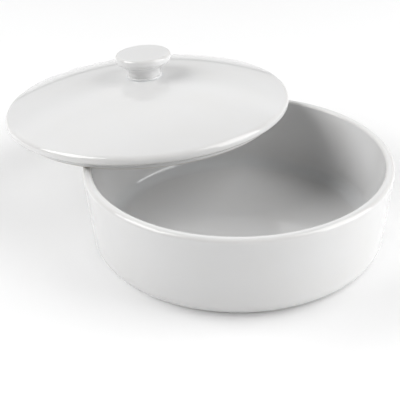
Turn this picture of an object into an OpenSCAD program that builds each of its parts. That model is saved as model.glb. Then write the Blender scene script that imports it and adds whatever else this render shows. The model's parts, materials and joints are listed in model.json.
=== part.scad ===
// Round glazed-ceramic warming dish with a domed lid and a turned knob.
// The lid stands ajar: shifted along -X and leaning on the rim of the bowl.
// Millimetres, +Z up, origin at the centre of the bowl's foot, on the table.

/* [Bowl] */
// Outer diameter of the bowl, across its rim
bowl_od = 230; // [190:1:280]
// Height of the rim above the table
bowl_h = 66.5; // [50:0.5:100]
// Lean of the wall from the vertical, outwards to the rim, in degrees
wall_lean = 5.1; // [0:0.1:12]
// Thickness of the wall
wall_t = 6.6; // [5.6:0.1:9]
// Thickness of the floor above the recess in the foot
floor_t = 6.5; // [4:0.1:10]
// Radius of the outside edge of the base
base_r = 13; // [6:0.5:18]
// Radius of the corner between floor and wall
well_r = 11; // [5:0.5:16]
// Radius of the outside edge of the rim
rim_outer_r = 3.2; // [1:0.1:3.5]
// Radius of the inside edge of the rim
rim_inner_r = 1.9; // [1:0.1:2]
// Width of the unglazed ring that the bowl stands on
foot_w = 8; // [4:0.5:14]
// Depth of the recess inside the foot ring
foot_recess = 1.2; // [0.6:0.1:2.5]

/* [Lid] */
// How far the edge of the lid stands out past the rim when the lid is centred
lid_reach = 0; // [-2:0.5:6]
// Height of the crown above the underside of the edge
crown_h = 27.4; // [20:0.1:40]
// Thickness of the dome
lid_t = 6.5; // [5:0.1:7.5]
// Thickness of the edge of the lid
edge_t = 7.5; // [7:0.1:10]
// Radius of the shoulder between dome and edge
shoulder_r = 4.3; // [2:0.1:4.5]
// Radius of the lower corner of the edge
lip_r = 2.1; // [1:0.1:2.4]
// Sideways play between the locating ring and the inside of the bowl
ring_play = 1.9; // [0.8:0.1:4]
// Width of the locating ring under the lid
ring_w = 5; // [3.5:0.1:7]
// Depth of the locating ring below the edge
ring_depth = 6.7; // [4:0.1:12]
// Radius of the cove between the locating ring and the dome
cove_r = 3; // [1:0.1:4]

/* [Knob] */
// Diameter of the disc of the knob
knob_d = 44.2; // [36:0.1:60]
// Height of the knob above its seat
knob_h = 19.4; // [19:0.1:24]
// Thickness of the disc
disc_t = 7.8; // [6.8:0.1:9]
// Radius of the upper edge of the disc
disc_top_r = 2.7; // [1:0.1:3]
// Radius of the lower edge of the disc
disc_low_r = 3.5; // [1.5:0.1:3.7]
// Diameter of the waist
waist_d = 25.8; // [20:0.1:30]
// Height of the waist above the seat
waist_z = 2.5; // [2:0.1:4]
// Diameter of the foot that is luted to the lid
knob_foot_d = 28; // [26:0.1:34]
// Height of the foot
knob_foot_h = 1.7; // [1:0.1:2]
// Radius of the upper edge of the foot
knob_foot_r = 0.8; // [0.3:0.1:0.9]
// Width of the flat seat that shows around the foot
seat_margin = 0.4; // [0.1:0.1:1.5]

/* [Lid resting ajar] */
// How far the lid is pushed off centre, along -X
lid_shift = 111.5; // [70:0.5:150]
// Lean of the lid, down towards its overhang, in degrees
lid_tilt = 3.9; // [0:0.1:7]
// Air left between the locating ring and the rim it leans on
rest_gap = 0.3; // [0.1:0.05:0.6]

/* [Hidden] */
$fn = 180;
// Facets of the two long dome arcs
dome_fn = 1440;
// Room that cutting shapes reach past what they cut
over = 1;

bowl_r = bowl_od / 2;
// Centre of the arc that rounds the outside edge of the rim
rim_x = bowl_r - rim_outer_r;
rim_z = bowl_h - rim_outer_r;
// Radius that the wall's outer line would reach at the table
wall_foot_r = rim_x + rim_outer_r / cos(wall_lean) - rim_z * tan(wall_lean);
// Horizontal width of the leaning wall
wall_w = wall_t / cos(wall_lean);
// Height of the well's floor
well_z = foot_recess + floor_t;
// Centre of the arc between floor and wall
corner_z = well_z + well_r;
corner_x = outer_line(corner_z) - wall_w - well_r / cos(wall_lean);
// Centre of the arc that rounds the inside edge of the rim
inner_rim_z = bowl_h - rim_inner_r;
inner_rim_x = outer_line(inner_rim_z) - wall_w + rim_inner_r / cos(wall_lean);
// Radius at which the inside of the wall would meet the top of the rim
mouth_r = outer_line(bowl_h) - wall_w;
// Outer radius of the flat ring that stands on the table
foot_r = outer_line(base_r) - base_r / cos(wall_lean);

lid_r = bowl_r + lid_reach;
// The shoulder arc and the dome arc share one tangent
shoulder_x = lid_r - shoulder_r;
shoulder_z = edge_t - shoulder_r;
crown_rise = crown_h - shoulder_z;
dome_r = (pow(shoulder_x, 2) + pow(crown_rise, 2) - pow(shoulder_r, 2)) / (2 * (crown_rise - shoulder_r));
dome_z = crown_h - dome_r;
hollow_r = dome_r - lid_t;
ring_outer_r = mouth_r - ring_play;
ring_inner_r = ring_outer_r - ring_w;
ring_mid_r = ring_outer_r - ring_w / 2;
cove_x = ring_inner_r - cove_r;
cove_z = dome_z + sqrt(pow(hollow_r - cove_r, 2) - pow(cove_x, 2));
seat_r = knob_foot_d / 2 + seat_margin;
seat_z = dome_z + sqrt(pow(dome_r, 2) - pow(seat_r, 2));

knob_r = knob_d / 2;
disc_z = knob_h - disc_t;
// Centre of the arc that rounds the lower edge of the disc
disc_low_x = knob_r - disc_low_r;
disc_low_z = disc_z + disc_low_r;
// One hollow arc leaves the waist upright and runs smoothly into the disc's lower edge
flare_dx = disc_low_x - waist_d / 2;
flare_dz = disc_low_z - waist_z;
flare_r = (pow(flare_dx, 2) + pow(flare_dz, 2) - pow(disc_low_r, 2)) / (2 * (flare_dx + disc_low_r));
flare_x = waist_d / 2 + flare_r;

// How far the lid's axis lies beyond the line between the two places where its ring crosses the rim,
// at the outer end of the rim's flat crown, which the leaning ring comes nearest to
cross_s = (pow(lid_shift, 2) + pow(ring_mid_r, 2) - pow(rim_x, 2)) / (2 * lid_shift);
lid_z = bowl_h + rest_gap + ring_depth * cos(lid_tilt) - cross_s * sin(lid_tilt);

// Radius of the outside of the wall at height z
function outer_line(z) = wall_foot_r + z * tan(wall_lean);

// Where a circle of radius r around (x, z) touches a line that leans like the wall, on its outer side
function wall_touch(x, z, r) = [x + r * cos(wall_lean), z - r * sin(wall_lean)];

// A wedge of the half-plane, from a dome's centre, between the axis and a given angle above level
module sector(z, angle, reach) {
    polygon([[0, z], [reach * cos(angle), z + reach * sin(angle)], [reach * cos(angle), z + reach], [0, z + reach]]);
}

// A rectangle given by its lowest and highest corners
module box2(x0, z0, x1, z1) {
    translate([x0, z0]) square([x1 - x0, z1 - z0]);
}

module dot(x, z, r) {
    translate([x, z]) circle(r = r);
}

// Outside of the bowl: base edge, leaning wall and rim edge
module bowl_outside() {
    polygon([
        [0, 0], [foot_r, 0], [foot_r, base_r], wall_touch(foot_r, base_r, base_r),
        wall_touch(rim_x, rim_z, rim_outer_r), [rim_x, rim_z], [rim_x, bowl_h], [0, bowl_h]
    ]);
    dot(foot_r, base_r, base_r);
    dot(rim_x, rim_z, rim_outer_r);
}

// The well, with its rounded corner and without the rounding of the rim
module bowl_well() {
    polygon([
        [0, well_z], [corner_x, well_z], [corner_x, corner_z], wall_touch(corner_x, corner_z, well_r),
        [outer_line(bowl_h + over) - wall_w, bowl_h + over], [0, bowl_h + over]
    ]);
    dot(corner_x, corner_z, well_r);
}

// What rounding takes off the inside edge of the rim
module rim_inner_cut() {
    difference() {
        polygon([
            [inner_rim_x, inner_rim_z], [inner_rim_x, bowl_h + over], [mouth_r - over, bowl_h + over],
            wall_touch(inner_rim_x, inner_rim_z, -rim_inner_r)
        ]);
        dot(inner_rim_x, inner_rim_z, rim_inner_r);
    }
}

module bowl() {
    color("white")
        rotate_extrude()
            difference() {
                bowl_outside();
                bowl_well();
                rim_inner_cut();
                box2(0, -over, foot_r - foot_w, foot_recess);
            }
}

// Places a piece of the lid, modelled level about its own axis, where the lid rests
module lid_place() {
    translate([-lid_shift, 0, lid_z])
        rotate([0, -lid_tilt, 0])
            children();
}

// Dome, shoulder and edge, solid down to the underside of the edge
module lid_outside() {
    intersection() {
        translate([0, dome_z]) circle(r = dome_r, $fn = dome_fn);
        sector(dome_z, atan2(shoulder_z - dome_z, shoulder_x), 2 * dome_r);
        box2(0, 0, lid_r, seat_z);
    }
    box2(0, 0, lid_r - lip_r, shoulder_z);
    box2(0, lip_r, lid_r, shoulder_z);
    dot(shoulder_x, shoulder_z, shoulder_r);
    dot(lid_r - lip_r, lip_r, lip_r);
}

// Locating ring with a rounded end
module lid_ring() {
    box2(ring_inner_r, ring_w / 2 - ring_depth, ring_outer_r, lip_r);
    dot(ring_mid_r, ring_w / 2 - ring_depth, ring_w / 2);
}

// The hollow under the dome, with its coved corner
module lid_hollow() {
    intersection() {
        translate([0, dome_z]) circle(r = hollow_r, $fn = dome_fn);
        sector(dome_z, atan2(cove_z - dome_z, cove_x), 2 * dome_r);
        box2(0, -ring_depth - over, ring_inner_r, crown_h);
    }
    box2(0, -ring_depth - over, ring_inner_r, cove_z);
    dot(cove_x, cove_z, cove_r);
}

module lid() {
    color("white")
        lid_place()
            rotate_extrude() {
                difference() {
                    lid_outside();
                    lid_hollow();
                }
                lid_ring();
            }
}

// Disc with a tighter upper edge and a rounder lower edge
module knob_disc() {
    box2(0, disc_z, disc_low_x, knob_h);
    box2(0, disc_low_z, knob_r, knob_h - disc_top_r);
    box2(0, disc_low_z, knob_r - disc_top_r, knob_h);
    dot(disc_low_x, disc_low_z, disc_low_r);
    dot(knob_r - disc_top_r, knob_h - disc_top_r, disc_top_r);
}

// Waist that flares up into the disc
module knob_stem() {
    difference() {
        polygon([[0, 0], [flare_x, 0], [flare_x, waist_z], [disc_low_x, disc_low_z], [0, disc_low_z]]);
        dot(flare_x, waist_z, flare_r);
    }
}

module knob_foot() {
    foot_x = knob_foot_d / 2;
    box2(0, 0, foot_x, knob_foot_h - knob_foot_r);
    box2(0, 0, foot_x - knob_foot_r, knob_foot_h);
    dot(foot_x - knob_foot_r, knob_foot_h - knob_foot_r, knob_foot_r);
}

module knob() {
    color("white")
        lid_place()
            translate([0, 0, seat_z])
                rotate_extrude() {
                    knob_disc();
                    knob_stem();
                    knob_foot();
                }
}

bowl();
lid();
knob();
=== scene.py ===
"""A white glazed warming dish with its lid ajar, laid out as a Blender add-on and run as a script.

Metres throughout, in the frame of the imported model: +Z up, origin at the centre of the bowl's foot.
The bowl, the lid and the knob are turned on the same outlines as their solids, so that their glaze
shades evenly, and stand for them."""

import json
from math import acos, asin, atan2, ceil, cos, hypot, pi, radians, sin, sqrt, tan

import bmesh
import bpy
from bpy.props import FloatProperty, FloatVectorProperty, PointerProperty
from mathutils import Matrix, Vector

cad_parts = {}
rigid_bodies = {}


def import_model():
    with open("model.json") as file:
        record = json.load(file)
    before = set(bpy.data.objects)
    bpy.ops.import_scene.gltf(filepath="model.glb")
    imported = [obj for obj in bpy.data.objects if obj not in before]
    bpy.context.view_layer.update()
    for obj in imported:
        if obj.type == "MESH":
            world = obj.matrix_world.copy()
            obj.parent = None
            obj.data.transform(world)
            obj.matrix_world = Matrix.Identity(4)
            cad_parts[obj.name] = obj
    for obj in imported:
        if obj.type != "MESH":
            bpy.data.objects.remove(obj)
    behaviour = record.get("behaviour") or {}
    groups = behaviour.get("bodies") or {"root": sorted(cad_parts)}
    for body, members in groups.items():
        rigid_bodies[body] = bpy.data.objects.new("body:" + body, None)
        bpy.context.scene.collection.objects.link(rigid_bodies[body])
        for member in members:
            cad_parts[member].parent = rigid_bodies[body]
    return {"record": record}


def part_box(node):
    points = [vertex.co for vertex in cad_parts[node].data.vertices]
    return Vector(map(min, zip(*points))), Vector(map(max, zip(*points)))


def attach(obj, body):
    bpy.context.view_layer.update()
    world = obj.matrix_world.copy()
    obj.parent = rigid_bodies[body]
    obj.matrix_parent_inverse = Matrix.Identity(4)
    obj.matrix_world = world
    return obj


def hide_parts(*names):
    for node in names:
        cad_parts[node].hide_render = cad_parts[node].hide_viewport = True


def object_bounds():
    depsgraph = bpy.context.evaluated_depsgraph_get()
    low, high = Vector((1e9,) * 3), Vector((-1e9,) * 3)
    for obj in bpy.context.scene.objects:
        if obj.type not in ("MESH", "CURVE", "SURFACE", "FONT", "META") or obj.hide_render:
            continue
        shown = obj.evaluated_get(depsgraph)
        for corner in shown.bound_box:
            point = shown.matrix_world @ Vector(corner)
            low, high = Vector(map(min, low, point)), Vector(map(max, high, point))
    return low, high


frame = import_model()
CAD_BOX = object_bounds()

bl_info = {
    "name": "Ceramic Warming Dish",
    "version": (1, 0, 0),
    "blender": (4, 5, 0),
    "location": "View3D > Sidebar > Warming Dish",
    "description": "Turns and glazes the bowl, lid and knob of a warming dish and sets up its studio",
    "category": "Object",
}

MM = 0.001
MICRON = 0.000001
BOWL_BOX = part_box("bowl")

# Refractive index of the glaze, which sets how strongly it mirrors the lights
GLAZE_IOR = 1.6
# Breadth of the slow mottle and of the finer clouds in the colour of the glaze
MOTTLE_SIZE = 35 * MM
CLOUD_SIZE = 9 * MM
# Breadth of the ragged waves in the line where the glaze was wiped off
WIPE_SIZE = 6 * MM

FLOOR_RADIUS = 8.0
# How far the floor lies below the foot, so that the two don't share a plane
FLOOR_DROP = 0.05 * MM
SOFTBOX_DISTANCE = 2.2
# Softboxes, each named as the setting of its brightness: degrees from the camera to the right, lowest and
# highest elevation, half the width in degrees, and what it lights
SOFTBOXES = {
    "left": (-74, (21, 57), 19, "dish"),
    "right": (78.5, (0, 21), 20, "dish"),
    "right_top": (78.5, (21, 58), 20, "dish"),
    "floor_left": (-90, (15, 40), 25, "floor"),
    "floor_front": (0, (20, 45), 30, "floor"),
    "floor_right": (90, (15, 40), 25, "floor"),
    "floor_top": (90, (40, 75), 25, "floor"),
}


# --------------------------------------------------------------------------------------
# Settings
# --------------------------------------------------------------------------------------


def length(name, description, default, least=0.0):
    """A setting that is a length."""
    return FloatProperty(name=name, description=description, unit="LENGTH", min=least, default=default)


def angle(name, description, default):
    """A setting that is an angle, given in degrees."""
    return FloatProperty(name=name, description=description, subtype="ANGLE", default=radians(default))


def share(name, description, default):
    """A setting between 0 and 1."""
    return FloatProperty(name=name, description=description, subtype="FACTOR", min=0, max=1, default=default)


def colour(name, description, default):
    """A setting that is a colour."""
    return FloatVectorProperty(
        name=name, description=description, subtype="COLOR", size=3, min=0, max=1, default=default
    )


def brightness(name, description, default):
    """The brightness of a light, as a multiple of plain white."""
    return FloatProperty(name=name, description=description + ", where 1 is white", min=0, default=default)


class BowlSettings(bpy.types.PropertyGroup):
    """The section of the bowl"""

    radius: length("Radius", "Radius of the bowl at its rim", BOWL_BOX[1].x, 0.05)
    height: length("Height", "Height of the rim above the table", BOWL_BOX[1].z, 0.03)
    lean: angle("Lean", "Lean of the wall, outwards to the rim", 5.1)
    wall: length("Wall", "Thickness of the wall", 6.6 * MM)
    floor: length("Floor", "Thickness of the floor", 6.5 * MM)
    base_round: length("Base edge", "Radius of the outside edge of the base", 13 * MM)
    well_round: length("Well corner", "Radius of the corner between floor and wall", 11 * MM)
    rim_round_out: length("Outer rim edge", "Radius of the outside edge of the rim", 3.2 * MM)
    rim_round_in: length("Inner rim edge", "Radius of the inside edge of the rim", 1.9 * MM)
    foot_width: length("Foot ring", "Width of the bare ring that the bowl stands on", 8 * MM)
    recess: length("Recess", "Depth of the recess inside the foot ring", 1.2 * MM)
    foot_round: length("Foot ring edge", "Radius of the inner edges of the foot ring", 0.4 * MM)


class LidSettings(bpy.types.PropertyGroup):
    """The section of the lid, and where it rests"""

    radius: length("Radius", "Radius of the lid at its edge", BOWL_BOX[1].x, 0.05)
    crown: length("Crown", "Height of the crown above the underside of the edge", 27.4 * MM)
    thickness: length("Thickness", "Thickness of the dome", 6.5 * MM)
    edge: length("Edge", "Thickness of the edge", 7.5 * MM)
    shoulder_round: length("Shoulder", "Radius of the shoulder between dome and edge", 4.3 * MM)
    lip_round: length("Lip", "Radius of the lower corner of the edge", 2.1 * MM)
    ring_radius: length("Ring radius", "Outer radius of the locating ring", 106.77 * MM)
    ring_width: length("Ring width", "Width of the locating ring", 5 * MM)
    ring_depth: length("Ring depth", "Depth of the locating ring below the edge", 6.7 * MM)
    ring_round: length("Ring corner", "Radius of the glaze in the corner above the locating ring", 0.6 * MM)
    cove_round: length("Cove", "Radius of the cove between the locating ring and the dome", 3 * MM)
    seat_radius: length("Seat", "Radius of the flat seat under the knob", 14.4 * MM)
    shift: length("Shift", "How far the lid is pushed off centre, along -X", 111.5 * MM)
    lift: length("Lift", "Height of the edge of the lid, on its own axis", 70.19 * MM)
    tilt: angle("Tilt", "Lean of the lid, down towards its overhang", 3.9)


class KnobSettings(bpy.types.PropertyGroup):
    """The section of the knob"""

    radius: length("Radius", "Radius of the disc", 22.1 * MM)
    height: length("Height", "Height of the knob above its seat", 19.4 * MM)
    disc: length("Disc", "Thickness of the disc", 7.8 * MM)
    top_round: length("Upper edge", "Radius of the upper edge of the disc", 2.7 * MM)
    low_round: length("Lower edge", "Radius of the lower edge of the disc", 3.5 * MM)
    waist_radius: length("Waist", "Radius of the waist", 12.9 * MM)
    waist_height: length("Waist height", "Height of the waist above the seat", 2.5 * MM)
    foot_radius: length("Foot", "Radius of the foot that is luted to the lid", 14 * MM)
    foot_height: length("Foot height", "Height of the foot", 1.7 * MM)
    foot_round: length("Foot edge", "Radius of the upper edge of the foot", 0.8 * MM)


class GlazeSettings(bpy.types.PropertyGroup):
    """The white glaze and the clay under it"""

    full: colour("Glaze", "Colour of the glaze where it lies at full thickness", (0.72, 0.72, 0.72))
    thin: colour("Thin glaze", "Colour of the glaze where it has drawn off an edge", (0.702, 0.694, 0.68))
    # Darker, cooler glaze for corners and creases: pooled glaze, with painted shade
    pooled_shade: colour("Pooled glaze", "Colour of the glaze where it has run together", (0.684, 0.696, 0.704))
    clay: colour("Bare clay", "Colour of the fired clay where the glaze was wiped off", (0.58, 0.53, 0.46))
    roughness: share("Glaze roughness", "Roughness of the glaze", 0.06)
    clay_roughness: share("Clay roughness", "Roughness of the bare clay", 0.85)
    wave_size: length("Wave size", "Breadth of the slow waves that firing leaves", 26 * MM, 1 * MM)
    wave_depth: length("Wave depth", "Height of the slow waves", 24 * MICRON)
    peel_size: length("Dimple size", "Breadth of the fine dimples of the glaze", 2.6 * MM, 0.1 * MM)
    peel_depth: length("Dimple depth", "Depth of the fine dimples of the glaze", 1.5 * MICRON)
    grain_size: length("Grain size", "Breadth of the grains of the bare clay", 0.5 * MM, 0.1 * MM)
    grain_depth: length("Grain depth", "Height of the grains of the bare clay", 40 * MICRON)


class StudioSettings(bpy.types.PropertyGroup):
    """The floor and the lights"""

    floor: colour("Floor", "Colour of the floor", (0.90, 0.90, 0.90))
    room: brightness("Room", "Brightness of the dim room around the dish", 0.067)
    backdrop: brightness("Backdrop", "Brightness of the low backdrop behind the dish", 0.663)
    band: brightness("Light band", "Brightness of the soft band of light high behind the dish", 1.12)
    left: brightness("Left softbox", "Brightness of the softbox on the left", 5.62)
    right: brightness("Right softbox", "Brightness of the low softbox on the right", 4.99)
    right_top: brightness("Right top softbox", "Brightness of the dimmer softbox above it", 3.98)
    floor_left: brightness("Floor, left", "Brightness of the floor's own light on the left", 5.9)
    floor_front: brightness("Floor, front", "Brightness of the floor's own light in front", 2.18)
    floor_right: brightness("Floor, right", "Brightness of the floor's own low light on the right", 3.75)
    floor_top: brightness("Floor, top right", "Brightness of the floor's own light high on the right", 1.86)


class CameraSettings(bpy.types.PropertyGroup):
    """The photograph's viewpoint, aimed from the centre of the bowl's rim"""

    azimuth: angle("Azimuth", "Direction of the camera round the dish; 0 looks along +Y", 48.83)
    elevation: angle("Elevation", "Height of the camera above the rim, as an angle", 27.47)
    distance: length("Distance", "Distance from the centre of the rim to the camera", 714 * MM, 0.1)
    pan: angle("Pan", "Turn of the camera to the left, away from the centre of the rim", 2.26)
    tilt: angle("Tilt", "Turn of the camera downwards, away from the centre of the rim", 2.50)
    roll: angle("Roll", "Clockwise turn of the camera about its own axis", 0.287)
    lens: FloatProperty(
        name="Lens", description="Focal length on a 36 mm sensor, in millimetres",
        subtype="DISTANCE_CAMERA", min=10, default=86.4,
    )


# --------------------------------------------------------------------------------------
# Turning
# --------------------------------------------------------------------------------------

# How close to its end a smooth stretch gets a ring of its own, so that the bend next to it doesn't
# shade into it
EASE = 0.35 * MM
# The longest stretch of an arc between two rings, as a length and as an angle
ARC_LENGTH = 3 * MM
ARC_ANGLE = radians(6)


class Outline:
    """A pen that draws half the section of a turned piece, in radius and height, from axis to axis."""

    def __init__(self, height):
        self.shape = bmesh.new()
        self.tip = self.shape.verts.new((0, 0, height))

    def _step(self, place):
        self.tip = bmesh.ops.extrude_vert_indiv(self.shape, verts=[self.tip])["verts"][0]
        self.tip.co = place

    def _turn(self, centre, turn, steps):
        spun = bmesh.ops.spin(
            self.shape, geom=[self.tip], cent=(centre[0], 0, centre[1]), axis=(0, -1, 0),
            angle=turn, steps=steps,
        )
        self.tip = next(part for part in spun["geom_last"] if isinstance(part, bmesh.types.BMVert))

    def line(self, radius, height):
        """Draws straight to a point."""
        start, end = self.tip.co.copy(), Vector((radius, 0, height))
        reach = (end - start).length
        if reach > 3 * EASE:
            self._step(start.lerp(end, EASE / reach))
            self._step(start.lerp(end, 1 - EASE / reach))
        self._step(end)

    def arc(self, centre, turn):
        """Draws an arc about a centre, anticlockwise where the turn is above 0."""
        radius = hypot(self.tip.co.x - centre[0], self.tip.co.z - centre[1])
        ease = EASE / radius if radius * abs(turn) > 12 * EASE else 0
        ease = ease if turn > 0 else -ease
        main = turn - 2 * ease
        steps = ceil(max(abs(main) * radius / ARC_LENGTH, abs(main) / ARC_ANGLE))
        if ease:
            self._turn(centre, ease, 1)
        self._turn(centre, main, steps)
        if ease:
            self._turn(centre, ease, 1)


def turned_mesh(name, outline, place, segments):
    """Turns an outline a full round about its axis and puts it in its place."""
    shape = outline.shape
    bmesh.ops.spin(
        shape, geom=shape.verts[:] + shape.edges[:], cent=(0, 0, 0), axis=(0, 0, 1),
        angle=2 * pi, steps=segments, use_merge=True,
    )
    bmesh.ops.remove_doubles(shape, verts=shape.verts[:], dist=0.001 * MM)
    bmesh.ops.recalc_face_normals(shape, faces=shape.faces[:])
    bmesh.ops.transform(shape, matrix=place, verts=shape.verts[:])
    for face in shape.faces:
        face.smooth = True
    mesh = bpy.data.meshes.new(name)
    shape.to_mesh(mesh)
    shape.free()
    mesh.set_sharp_from_angle(angle=radians(50))
    return mesh


def stand_for(node, name, mesh, material):
    """Shows a turned piece in place of a node, riding on the node's own body."""
    piece = bpy.data.objects.new(name, mesh)
    bpy.context.scene.collection.objects.link(piece)
    mesh.materials.append(material)
    bodies = frame["record"]["behaviour"]["bodies"]
    body = next(key for key, members in bodies.items() if node in members)
    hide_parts(node)
    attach(piece, body)


def lid_place(lid):
    """Where the lid's own level frame stands: on its axis, at the underside of its edge."""
    return Matrix.Translation((-lid.shift, 0, lid.lift)) @ Matrix.Rotation(-lid.tilt, 4, "Y")


def dome_section(lid):
    """Radius of the dome's arc, height of its centre on the axis, and the centre of the shoulder's arc."""
    shoulder = (lid.radius - lid.shoulder_round, lid.edge - lid.shoulder_round)
    rise = lid.crown - shoulder[1]
    reach = shoulder[0] ** 2 + rise**2 - lid.shoulder_round**2
    dome = reach / (2 * (rise - lid.shoulder_round))
    return dome, lid.crown - dome, shoulder


def edge_section(lid, shoulder):
    """Angles of the edge's underside: where the lip's arc ends, and where the shoulder's arc, which runs on
    below as a bead, starts again and ends."""
    across, down = lid.radius - lid.lip_round - shoulder[0], lid.lip_round - shoulder[1]
    apart = hypot(across, down)
    along = (lid.shoulder_round**2 - lid.lip_round**2 + apart**2) / (2 * apart)
    bead_start = atan2(down, across) - acos(along / lid.shoulder_round)
    lip_end = atan2(
        lid.shoulder_round * sin(bead_start) - down, lid.shoulder_round * cos(bead_start) - across
    )
    return lip_end, bead_start, -pi / 2 - acos(shoulder[1] / lid.shoulder_round)


def seat_height(lid):
    """Height of the flat seat under the knob."""
    dome, centre, _ = dome_section(lid)
    return centre + sqrt(dome**2 - lid.seat_radius**2)


def bowl_base(bowl):
    """Radius at which the outside of the wall would meet the table, and the centre of the base edge's arc."""
    rim = (bowl.radius - bowl.rim_round_out, bowl.height - bowl.rim_round_out)
    foot = rim[0] + bowl.rim_round_out / cos(bowl.lean) - rim[1] * tan(bowl.lean)
    base = foot + bowl.base_round * tan(bowl.lean) - bowl.base_round / cos(bowl.lean)
    return foot, (base, bowl.base_round)


def bowl_outline(bowl):
    """Recess, foot ring, base edge, leaning wall, rim, well."""
    lean_cos, lean_sin, lean_tan = cos(bowl.lean), sin(bowl.lean), tan(bowl.lean)
    rim = (bowl.radius - bowl.rim_round_out, bowl.height - bowl.rim_round_out)
    foot, base = bowl_base(bowl)
    inside = foot - bowl.wall / lean_cos
    mouth_z = bowl.height - bowl.rim_round_in
    mouth = (inside + mouth_z * lean_tan + bowl.rim_round_in / lean_cos, mouth_z)
    floor_z = bowl.recess + bowl.floor
    well_z = floor_z + bowl.well_round
    well = (inside + well_z * lean_tan - bowl.well_round / lean_cos, well_z)
    ring, soft = base[0] - bowl.foot_width, bowl.foot_round

    outline = Outline(bowl.recess)
    outline.line(ring - soft, bowl.recess)
    outline.arc((ring - soft, bowl.recess - soft), -pi / 2)
    outline.line(ring, soft)
    outline.arc((ring + soft, soft), pi / 2)
    outline.line(base[0], 0)
    outline.arc(base, pi / 2 - bowl.lean)
    outline.line(rim[0] + bowl.rim_round_out * lean_cos, rim[1] - bowl.rim_round_out * lean_sin)
    outline.arc(rim, pi / 2 + bowl.lean)
    outline.line(mouth[0], bowl.height)
    outline.arc(mouth, pi / 2 - bowl.lean)
    outline.line(well[0] + bowl.well_round * lean_cos, well[1] - bowl.well_round * lean_sin)
    outline.arc(well, bowl.lean - pi / 2)
    outline.line(0, floor_z)
    return outline


def lid_outline(lid):
    """Seat, dome, shoulder, edge, bead, locating ring, cove, hollow."""
    dome, centre, shoulder = dome_section(lid)
    seat = seat_height(lid)
    ring_in = lid.ring_radius - lid.ring_width
    ring_end = (lid.ring_radius - lid.ring_width / 2, lid.ring_width / 2 - lid.ring_depth)
    hollow = dome - lid.thickness
    cove_r = ring_in - lid.cove_round
    cove = (cove_r, centre + sqrt((hollow - lid.cove_round) ** 2 - cove_r**2))
    lip_end, bead_start, bead_end = edge_section(lid, shoulder)
    at_seat = atan2(seat - centre, lid.seat_radius)
    at_shoulder = atan2(shoulder[1] - centre, shoulder[0])
    at_cove = atan2(cove[1] - centre, cove[0])

    outline = Outline(seat)
    outline.line(lid.seat_radius, seat)
    outline.arc((0, centre), at_shoulder - at_seat)
    outline.arc(shoulder, -at_shoulder)
    outline.line(lid.radius, lid.lip_round)
    outline.arc((lid.radius - lid.lip_round, lid.lip_round), lip_end)
    outline.arc(shoulder, bead_end - bead_start)
    outline.line(lid.ring_radius + lid.ring_round, 0)
    outline.arc((lid.ring_radius + lid.ring_round, -lid.ring_round), pi / 2)
    outline.line(lid.ring_radius, ring_end[1])
    outline.arc(ring_end, -pi)
    outline.line(ring_in, cove[1])
    outline.arc(cove, at_cove)
    outline.arc((0, centre), pi / 2 - at_cove)
    return outline


def knob_outline(knob):
    """Foot, waist, flare, disc."""
    foot = (knob.foot_radius - knob.foot_round, knob.foot_height - knob.foot_round)
    low = (knob.radius - knob.low_round, knob.height - knob.disc + knob.low_round)
    top = (knob.radius - knob.top_round, knob.height - knob.top_round)
    across, up = low[0] - knob.waist_radius, low[1] - knob.waist_height
    flare = (across**2 + up**2 - knob.low_round**2) / (2 * (across + knob.low_round))
    hollow = (knob.waist_radius + flare, knob.waist_height)
    below = asin((knob.waist_height - knob.foot_height) / flare)
    at_low = atan2(low[1] - hollow[1], low[0] - hollow[0])

    outline = Outline(0)
    outline.line(knob.foot_radius, 0)
    outline.line(knob.foot_radius, foot[1])
    outline.arc(foot, pi / 2)
    outline.line(hollow[0] - flare * cos(below), knob.foot_height)
    outline.arc(hollow, at_low - pi - below)
    outline.arc(low, pi - at_low)
    outline.line(knob.radius, top[1])
    outline.arc(top, pi / 2)
    outline.line(0, knob.height)
    return outline


# --------------------------------------------------------------------------------------
# Materials
# --------------------------------------------------------------------------------------


class Field:
    """A number that varies over a surface; arithmetic on it adds Math nodes to its graph."""

    def __init__(self, graph, socket):
        self.graph = graph
        self.socket = socket

    def _math(self, operation, *values):
        inputs = dict(enumerate(values))
        return self.graph.node("ShaderNodeMath", {"operation": operation}, inputs)

    def __add__(self, other):
        return self._math("ADD", self, other)

    def __radd__(self, other):
        return self._math("ADD", other, self)

    def __sub__(self, other):
        return self._math("SUBTRACT", self, other)

    def __rsub__(self, other):
        return self._math("SUBTRACT", other, self)

    def __mul__(self, other):
        return self._math("MULTIPLY", self, other)

    def __rmul__(self, other):
        return self._math("MULTIPLY", other, self)

    def __pow__(self, other):
        return self._math("POWER", self, other)

    def ramp(self, low, high):
        """0 where the field is at low, 1 where it is at high, with a smooth step between.

        high may be the lower of the two."""
        settings = {"interpolation_type": "SMOOTHSTEP", "clamp": True}
        return self.graph.node(
            "ShaderNodeMapRange", settings, {"Value": self, "From Min": low, "From Max": high}
        )


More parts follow.
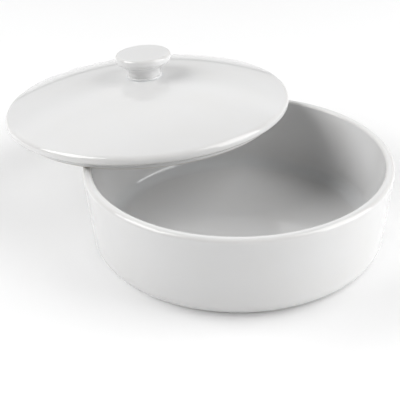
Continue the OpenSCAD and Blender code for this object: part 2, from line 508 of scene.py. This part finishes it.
class Graph:
    """A node tree that is built through fields."""

    def __init__(self, tree):
        self.tree = tree
        self.tree.nodes.clear()

    def node(self, kind, settings=None, inputs=None, output=0):
        """Adds a node, sets it up, feeds its sockets with numbers or links, and gives one of its outputs."""
        made = self.tree.nodes.new(kind)
        for key, value in (settings or {}).items():
            setattr(made, key, value)
        for key, value in (inputs or {}).items():
            if isinstance(value, Field):
                self.tree.links.new(value.socket, made.inputs[key])
            else:
                made.inputs[key].default_value = value
        return Field(self, made.outputs[output])

    def mix(self, factor, first, second):
        """A colour between two colours, by a field."""
        first, second = (c if isinstance(c, Field) else (*c, 1.0) for c in (first, second))
        return self.node("ShaderNodeMix", {"data_type": "RGBA"}, {0: factor, 6: first, 7: second}, output=2)

    def noise(self, place, size, detail=2.0, offset=0.0):
        """Noise between about 0 and 1, with blobs of a given size."""
        moved = self.node(
            "ShaderNodeVectorMath", {"operation": "ADD"}, {0: place, 1: (offset, offset, offset)}
        )
        return self.node(
            "ShaderNodeTexNoise", None, {"Vector": moved, "Scale": 1 / size, "Detail": detail}
        )

    def parts(self, vector):
        """The X, Y and Z of a vector."""
        split = self.node("ShaderNodeSeparateXYZ", None, {0: vector}).socket.node
        return [Field(self, output) for output in split.outputs]

    def facing(self, direction, azimuth):
        """How far a direction points to an azimuth: 1 straight at it, 0 square to it."""
        aim = (sin(azimuth), -cos(azimuth), 0)
        return self.node(
            "ShaderNodeVectorMath", {"operation": "DOT_PRODUCT"}, {0: direction, 1: aim}, output="Value"
        )

    def finish(self, shader, kind="ShaderNodeOutputMaterial"):
        """Links a shader to the tree's output."""
        output = self.tree.nodes.new(kind)
        self.tree.links.new(shader.socket, output.inputs["Surface"])


def new_material(name):
    """An empty material and the graph of its nodes."""
    material = bpy.data.materials.new(name)
    material.use_nodes = True
    return material, Graph(material.node_tree)


class Turned:
    """Where a point of a turned piece lies, about the piece's own axis: its radius and its height."""

    def __init__(self, graph, place):
        coordinates = graph.node("ShaderNodeTexCoord", output="Object")
        self.graph = graph
        self.place = graph.node(
            "ShaderNodeMapping", {"vector_type": "TEXTURE"},
            {"Vector": coordinates, "Location": place.to_translation(), "Rotation": place.to_euler()},
        )
        x, y, self.height = graph.parts(self.place)
        self.radius = (x * x + y * y) ** 0.5

    def near(self, radius, height, reach):
        """1 on a circle about the axis, fading to 0 at a reach from it."""
        across = self.radius - radius
        along = self.height - height
        return ((across * across + along * along) ** 0.5).ramp(reach, 0)


def glaze_material(name, glaze, place, thin=(), pooled_shade=(), bare=None):
    """Glossy white glaze, thinner on edges, pooled in corners and darkened there as painted shade, and wiped
    off where bare says so.

    thin and pooled list circles as (radius, height, reach); bare takes the Turned place and gives a field."""
    material, graph = new_material(name)
    turned = Turned(graph, place)
    spot = turned.place

    mottle = graph.noise(spot, MOTTLE_SIZE, detail=3.0)
    cloud = graph.noise(spot, CLOUD_SIZE, detail=2.0, offset=1.7)
    shade = graph.mix(mottle.ramp(0.35, 0.75) * 0.35, glaze.full, glaze.thin)
    # Edges take the warmer thin glaze; corners and creases take the darker pooled glaze, which is also
    # painted shade
    for circles, tint in ((thin, glaze.thin), (pooled_shade, glaze.pooled_shade)):
        for circle in circles:
            shade = graph.mix(turned.near(*circle) * (0.5 + 0.5 * cloud), shade, tint)

    roughness = cloud * 0.03 + (glaze.roughness - 0.015)
    wave = graph.noise(spot, glaze.wave_size, detail=1.0, offset=4.1) * glaze.wave_depth
    peel = graph.noise(spot, glaze.peel_size, detail=1.0, offset=7.3) * glaze.peel_depth
    relief = wave + peel
    if bare:
        wiped = bare(turned)
        grain = graph.noise(spot, glaze.grain_size, detail=4.0)
        clay = graph.mix(grain, glaze.clay, tuple(0.82 * part for part in glaze.clay))
        shade = graph.mix(wiped, shade, clay)
        roughness = roughness + wiped * (glaze.clay_roughness - roughness)
        relief = relief + wiped * (grain * glaze.grain_depth)

    normal = graph.node("ShaderNodeBump", None, {"Strength": 1.0, "Distance": 1.0, "Height": relief})
    shader = graph.node(
        "ShaderNodeBsdfPrincipled", None,
        {"Base Color": shade, "Roughness": roughness, "IOR": GLAZE_IOR, "Normal": normal},
    )
    graph.finish(shader)
    return material


def floor_material(tint):
    """An even matt finish for the floor."""
    material, graph = new_material("floor")
    shader = graph.node(
        "ShaderNodeBsdfPrincipled", None,
        {"Base Color": (*tint, 1.0), "Roughness": 0.9, "Specular IOR Level": 0.0},
    )
    graph.finish(shader)
    return material


def wiped_line(turned, depth):
    """The height on a turned piece, with waves of a given depth, at which the wiping cloth stopped."""
    return turned.height + turned.graph.noise(turned.place, WIPE_SIZE, detail=3.0, offset=2.2) * depth


def bowl_foot(turned, bowl):
    """The ring that the bowl stands on, wiped clean before firing."""
    inner = bowl_base(bowl)[1][0] - bowl.foot_width
    low = wiped_line(turned, 0.5 * MM).ramp(1.0 * MM, 0.7 * MM)
    return low * turned.radius.ramp(inner - 1.0 * MM, inner - 0.2 * MM)


def lid_ring_end(turned, lid):
    """The end of the locating ring, wiped clean before firing."""
    end = -lid.ring_depth
    return wiped_line(turned, 0.6 * MM).ramp(end + 1.5 * MM, end + 1.1 * MM)


# --------------------------------------------------------------------------------------
# Operators
# --------------------------------------------------------------------------------------


class DISH_OT_turn_bowl(bpy.types.Operator):
    """Turn the bowl and glaze it, inside and out, down to the bare ring that it stands on"""

    bl_idname = "dish.turn_bowl"
    bl_label = "Turn the Bowl"

    def execute(self, context):
        bowl = context.scene.dish_bowl
        thin = [
            (bowl.radius - 1 * MM, bowl.height - 1 * MM, 2.6 * MM),
            (bowl.radius - 5.5 * MM, bowl.height - 0.8 * MM, 2.0 * MM),
        ]
        base = bowl_base(bowl)[1][0]
        # The well's inner corner is darkened: pooled glaze and painted shade
        pooled_shade = [(base + 2 * MM, bowl.recess + bowl.floor + 2.8 * MM, 10 * MM)]
        place = Matrix.Identity(4)
        material = glaze_material(
            "bowl_glaze", context.scene.dish_glaze, place, thin, pooled_shade,
            bare=lambda turned: bowl_foot(turned, bowl),
        )
        stand_for("bowl", "glazed_bowl", turned_mesh("glazed_bowl", bowl_outline(bowl), place, 256), material)
        return {"FINISHED"}


class DISH_OT_turn_lid(bpy.types.Operator):
    """Turn the lid and glaze it all over, down to the bare end of its locating ring"""

    bl_idname = "dish.turn_lid"
    bl_label = "Turn the Lid"

    def execute(self, context):
        lid = context.scene.dish_lid
        thin = [(lid.radius - 1.5 * MM, 5.0 * MM, 3.2 * MM), (lid.radius - 0.8 * MM, 1.2 * MM, 2.0 * MM)]
        # The seat under the knob and the cove above the locating ring are darkened: pooled glaze and painted
        # shade
        pooled_shade = [
            (lid.seat_radius, seat_height(lid), 2.0 * MM),
            (lid.ring_radius - 7 * MM, 5 * MM, 5 * MM),
        ]
        place = lid_place(lid)
        material = glaze_material(
            "lid_glaze", context.scene.dish_glaze, place, thin, pooled_shade,
            bare=lambda turned: lid_ring_end(turned, lid),
        )
        stand_for("lid", "glazed_lid", turned_mesh("glazed_lid", lid_outline(lid), place, 256), material)
        return {"FINISHED"}


class DISH_OT_turn_knob(bpy.types.Operator):
    """Turn the knob on the crown of the lid and glaze it"""

    bl_idname = "dish.turn_knob"
    bl_label = "Turn the Knob"

    def execute(self, context):
        lid = context.scene.dish_lid
        knob = context.scene.dish_knob
        thin = [(knob.radius - 0.8 * MM, knob.height - 0.8 * MM, 2.4 * MM)]
        # The joint of the knob's foot with the lid is darkened: pooled glaze and painted shade
        pooled_shade = [(knob.foot_radius, 0.3 * MM, 1.6 * MM)]
        place = lid_place(lid) @ Matrix.Translation((0, 0, seat_height(lid)))
        material = glaze_material("knob_glaze", context.scene.dish_glaze, place, thin, pooled_shade)
        stand_for("knob", "glazed_knob", turned_mesh("glazed_knob", knob_outline(knob), place, 160), material)
        return {"FINISHED"}


def add_floor(settings):
    """A wide round floor just below the dish."""
    mesh = bpy.data.meshes.new("floor")
    shape = bmesh.new()
    bmesh.ops.create_circle(shape, cap_ends=True, segments=96, radius=FLOOR_RADIUS)
    bmesh.ops.translate(shape, vec=(0, 0, -FLOOR_DROP), verts=shape.verts)
    shape.to_mesh(mesh)
    shape.free()
    floor = bpy.data.objects.new("floor", mesh)
    bpy.context.scene.collection.objects.link(floor)
    mesh.materials.append(floor_material(settings.floor))
    return floor


def add_softbox(name, side, turn, heights, reach, brightness, lit):
    """A rectangular light on the things in lit, laid out by the angles at which the dish sees it.

    side is the camera's azimuth and turn the degrees from there to the right, heights are the lowest and
    highest elevation in degrees, and reach is half the light's width in degrees. The power follows from
    the size and the brightness."""
    low, high = heights
    half_height = SOFTBOX_DISTANCE * tan(radians(high - low) / 2)
    half_width = SOFTBOX_DISTANCE * tan(radians(reach))
    light = bpy.data.lights.new(name, "AREA")
    light.shape = "RECTANGLE"
    light.size = 2 * half_width
    light.size_y = 2 * half_height
    light.energy = pi * light.size * light.size_y * brightness
    lamp = bpy.data.objects.new(name, light)
    bpy.context.scene.collection.objects.link(lamp)
    lamp.matrix_world = (
        Matrix.Translation((CAD_BOX[0] + CAD_BOX[1]) / 2)
        @ Matrix.Rotation(side + radians(turn), 4, "Z")
        @ Matrix.Rotation(radians(90 - (low + high) / 2), 4, "X")
        @ Matrix.Translation((0, 0, SOFTBOX_DISTANCE))
    )
    lamp.visible_camera = False
    shone_on = bpy.data.collections.new(name + "_lit")
    for thing in lit:
        shone_on.objects.link(thing)
    lamp.light_linking.receiver_collection = shone_on


def add_camera(settings):
    """The camera at the photograph's viewpoint."""
    camera = bpy.data.objects.new("camera", bpy.data.cameras.new("camera"))
    bpy.context.scene.collection.objects.link(camera)
    camera.data.sensor_width = 36
    camera.data.lens = settings.lens
    camera.matrix_world = (
        Matrix.Translation((0, 0, BOWL_BOX[1].z))
        @ Matrix.Rotation(settings.azimuth, 4, "Z")
        @ Matrix.Rotation(radians(90) - settings.elevation, 4, "X")
        @ Matrix.Translation((0, 0, settings.distance))
        @ Matrix.Rotation(settings.pan, 4, "Y")
        @ Matrix.Rotation(-settings.tilt, 4, "X")
        @ Matrix.Rotation(-settings.roll, 4, "Z")
    )
    bpy.context.scene.camera = camera


def add_world(side, room_light, backdrop_light, band_light):
    """A dim room with a paler backdrop and a soft band of light behind the dish, on a plain white ground.

    side is the camera's azimuth. What the camera itself sees of the room is plain white."""
    world = bpy.data.worlds.new("room")
    world.use_nodes = True
    graph = Graph(world.node_tree)
    direction = graph.node("ShaderNodeTexCoord", output="Generated")
    height = graph.parts(direction)[2]
    behind = graph.facing(direction, side + radians(180))
    behind_left = graph.facing(direction, side - radians(142))
    backdrop = behind.ramp(0.0, 0.6) * height.ramp(0.6, 0.4) * backdrop_light
    band = behind_left.ramp(0.25, 0.7) * height.ramp(0.3, 0.65) * height.ramp(0.95, 0.86) * band_light
    seen = graph.node("ShaderNodeLightPath", output="Is Camera Ray")
    brightness = (backdrop + band + room_light) * (1 - seen) + seen
    ground = graph.node("ShaderNodeBackground", None, {"Color": (1, 1, 1, 1), "Strength": brightness})
    graph.finish(ground, "ShaderNodeOutputWorld")
    bpy.context.scene.world = world


class DISH_OT_set_stage(bpy.types.Operator):
    """Lay the floor, hang the lights and place the camera"""

    bl_idname = "dish.set_stage"
    bl_label = "Set the Stage"

    def execute(self, context):
        studio = context.scene.dish_studio
        side = context.scene.dish_camera.azimuth
        lit = {"floor": [add_floor(studio)]}
        lit["dish"] = [thing for thing in context.scene.objects if thing.name.startswith("glazed")]
        add_world(side, studio.room, studio.backdrop, studio.band)
        for name, (turn, heights, reach, aim) in SOFTBOXES.items():
            add_softbox(name + "_softbox", side, turn, heights, reach, getattr(studio, name), lit[aim])
        add_camera(context.scene.dish_camera)
        context.scene.view_settings.view_transform = "Standard"
        return {"FINISHED"}


class DISH_PT_panel(bpy.types.Panel):
    """Settings and steps of the warming dish"""

    bl_idname = "DISH_PT_panel"
    bl_label = "Warming Dish"
    bl_space_type = "VIEW_3D"
    bl_region_type = "UI"
    bl_category = "Warming Dish"

    def draw(self, context):
        for name in SETTINGS:
            group = getattr(context.scene, name)
            box = self.layout.box()
            for key in group.bl_rna.properties.keys():
                if key not in ("rna_type", "name"):
                    box.prop(group, key)
        for operator in STEPS:
            self.layout.operator(operator.bl_idname)


SETTINGS = {
    "dish_bowl": BowlSettings,
    "dish_lid": LidSettings,
    "dish_knob": KnobSettings,
    "dish_glaze": GlazeSettings,
    "dish_studio": StudioSettings,
    "dish_camera": CameraSettings,
}
STEPS = (DISH_OT_turn_bowl, DISH_OT_turn_lid, DISH_OT_turn_knob, DISH_OT_set_stage)


def register():
    for name, group in SETTINGS.items():
        bpy.utils.register_class(group)
        setattr(bpy.types.Scene, name, PointerProperty(type=group))
    for cls in (*STEPS, DISH_PT_panel):
        bpy.utils.register_class(cls)


def unregister():
    for cls in (DISH_PT_panel, *reversed(STEPS)):
        bpy.utils.unregister_class(cls)
    for name, group in SETTINGS.items():
        delattr(bpy.types.Scene, name)
        bpy.utils.unregister_class(group)


def main():
    register()
    bpy.ops.dish.turn_bowl()
    bpy.ops.dish.turn_lid()
    bpy.ops.dish.turn_knob()
    bpy.ops.dish.set_stage()
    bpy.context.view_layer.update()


if __name__ == "__main__":
    main()
